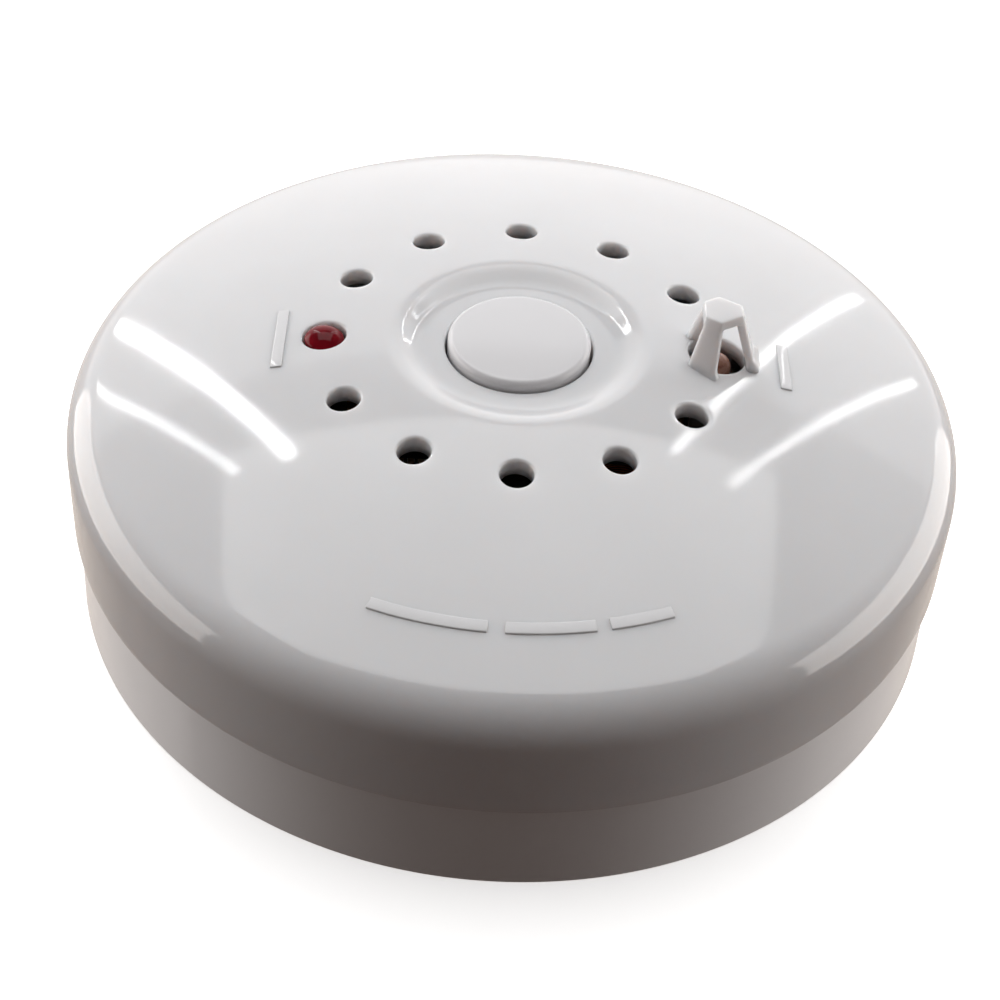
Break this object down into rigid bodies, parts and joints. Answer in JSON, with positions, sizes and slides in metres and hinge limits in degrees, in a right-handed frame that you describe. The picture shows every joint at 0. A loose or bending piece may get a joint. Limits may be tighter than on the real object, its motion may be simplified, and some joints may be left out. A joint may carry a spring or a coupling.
{
  "type": "heat detector",
  "caption": "Round domed battery heat alarm that twists onto a slotted ceiling base, with a guarded heat sensor, indicator lamp, vents and a central test button.",
  "frame": {"origin": "middle of the mounting base's ceiling face", "axes": "+Z out of the ceiling face through the middle of the dome; +X towards the heat sensor's guard, -X towards the indicator lamp"},
  "size_m": [0.11, 0.11, 0.0417],
  "materials": {
    "white_case": "gloss injection-moulded white plastic",
    "white_button": "gloss white plastic",
    "white_base": "semi-gloss white plastic",
    "inner_white": "satin white plastic",
    "black_plastic": "satin black plastic",
    "grey_plastic": "matt dark grey plastic",
    "screw_steel": "zinc-plated steel",
    "spring_steel": "bright spring wire",
    "tinned_lead": "tinned copper wire",
    "board_brown": "brown phenolic laminate",
    "horn_brass": "thin brass sheet",
    "horn_ceramic": "silvered piezo ceramic",
    "lamp_red": "clear red epoxy",
    "sensor_brown": "glossy epoxy dip",
    "chip_black": "moulded epoxy",
    "coil_copper": "enamelled copper wire",
    "can_aluminium": "bare aluminium can",
    "sleeve_blue": "shrink sleeve",
    "capacitor_ochre": "epoxy dip",
    "resistor_tan": "lacquered body",
    "battery_grey": "plain printed steel jacket",
    "contact_nickel": "nickel-plated steel",
    "wire_red": "red vinyl insulation",
    "wire_black": "black vinyl insulation",
    "label_foil": "plain foil label"
  },
  "bodies": {
    "base": {"mounting_base": "white_base"},
    "head": {"top_cover": "white_case", "rear_housing": "inner_white", "cover_screws": "screw_steel", "rating_label": "label_foil", "return_spring": "spring_steel", "switch_housing": "grey_plastic", "switch_pins": "tinned_lead", "circuit_board": "board_brown", "board_screws": "screw_steel", "horn_housing": "black_plastic", "horn_cap": "black_plastic", "horn_plate": "horn_brass", "horn_ceramic": "horn_ceramic", "horn_contacts": "tinned_lead", "lamp_lens": "lamp_red", "lamp_leads": "tinned_lead", "lamp_spacer": "black_plastic", "thermistor_bead": "sensor_brown", "thermistor_leads": "tinned_lead", "sensor_post": "inner_white", "control_chip": "chip_black", "chip_legs": "tinned_lead", "coil_bobbin": "grey_plastic", "coil_winding": "coil_copper", "coil_leads": "tinned_lead", "reservoir_capacitor": "can_aluminium", "capacitor_sleeve": "sleeve_blue", "capacitor_leads": "tinned_lead", "disc_capacitors": "capacitor_ochre", "disc_capacitor_leads": "tinned_lead", "resistors": "resistor_tan", "resistor_leads": "tinned_lead", "transistor": "chip_black", "transistor_legs": "tinned_lead", "diode": "chip_black", "diode_leads": "tinned_lead", "battery_case": "battery_grey", "battery_end_plate": "black_plastic", "battery_terminals": "contact_nickel", "battery_snap": "black_plastic", "snap_contacts": "contact_nickel", "red_lead": "wire_red", "black_lead": "wire_black"},
    "button": {"test_button": "white_button"},
    "plunger": {"switch_plunger": "black_plastic"}
  },
  "joints": [
    {"name": "head_twist", "type": "hinge", "parent": "base", "child": "head", "pos_m": [0, 0, 0], "axis": [0, 0, 1], "range_deg": [0, 22]},
    {"name": "button_press", "type": "slide", "parent": "head", "child": "button", "axis": [0, 0, -1], "range_m": [0, 0.001], "stiffness_N_per_m": 600, "springref_m": -0.001, "deforming": ["return_spring"]},
    {"name": "plunger_press", "type": "slide", "parent": "head", "child": "plunger", "axis": [0, 0, -1], "range_m": [0, 0.001], "stiffness_N_per_m": 200, "springref_m": -0.0005}
  ],
  "couplings": [
    {"joint": "plunger_press", "follows": "button_press", "ratio": 1}
  ]
}
